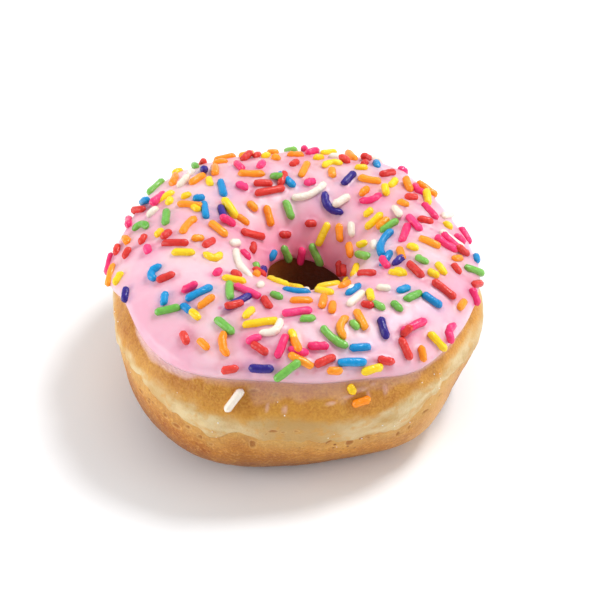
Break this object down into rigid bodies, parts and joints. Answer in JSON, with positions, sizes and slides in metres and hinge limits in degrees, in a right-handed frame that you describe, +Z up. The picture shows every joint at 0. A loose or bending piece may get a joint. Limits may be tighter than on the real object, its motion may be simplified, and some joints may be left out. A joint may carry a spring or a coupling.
{
  "type": "frosted ring doughnut",
  "caption": "Raised ring doughnut with a pale waistband, pink icing over its top and into the hole, and scattered rod sprinkles.",
  "frame": {"origin": "middle of the bounding box, on the surface the doughnut stands on", "axes": "+Z up through the hole, front towards -Y, +X to the right seen from the front"},
  "size_m": [0.0862, 0.0899, 0.0407],
  "materials": {
    "fried_dough": "fried yeast dough, golden brown crust with a cream band, soft and slightly greasy",
    "pink_icing": "set pink sugar icing, satin, with sugar rod sprinkles in mixed colours"
  },
  "bodies": {
    "root": {"dough_ring": "fried_dough", "icing": "pink_icing"}
  },
  "joints": []
}
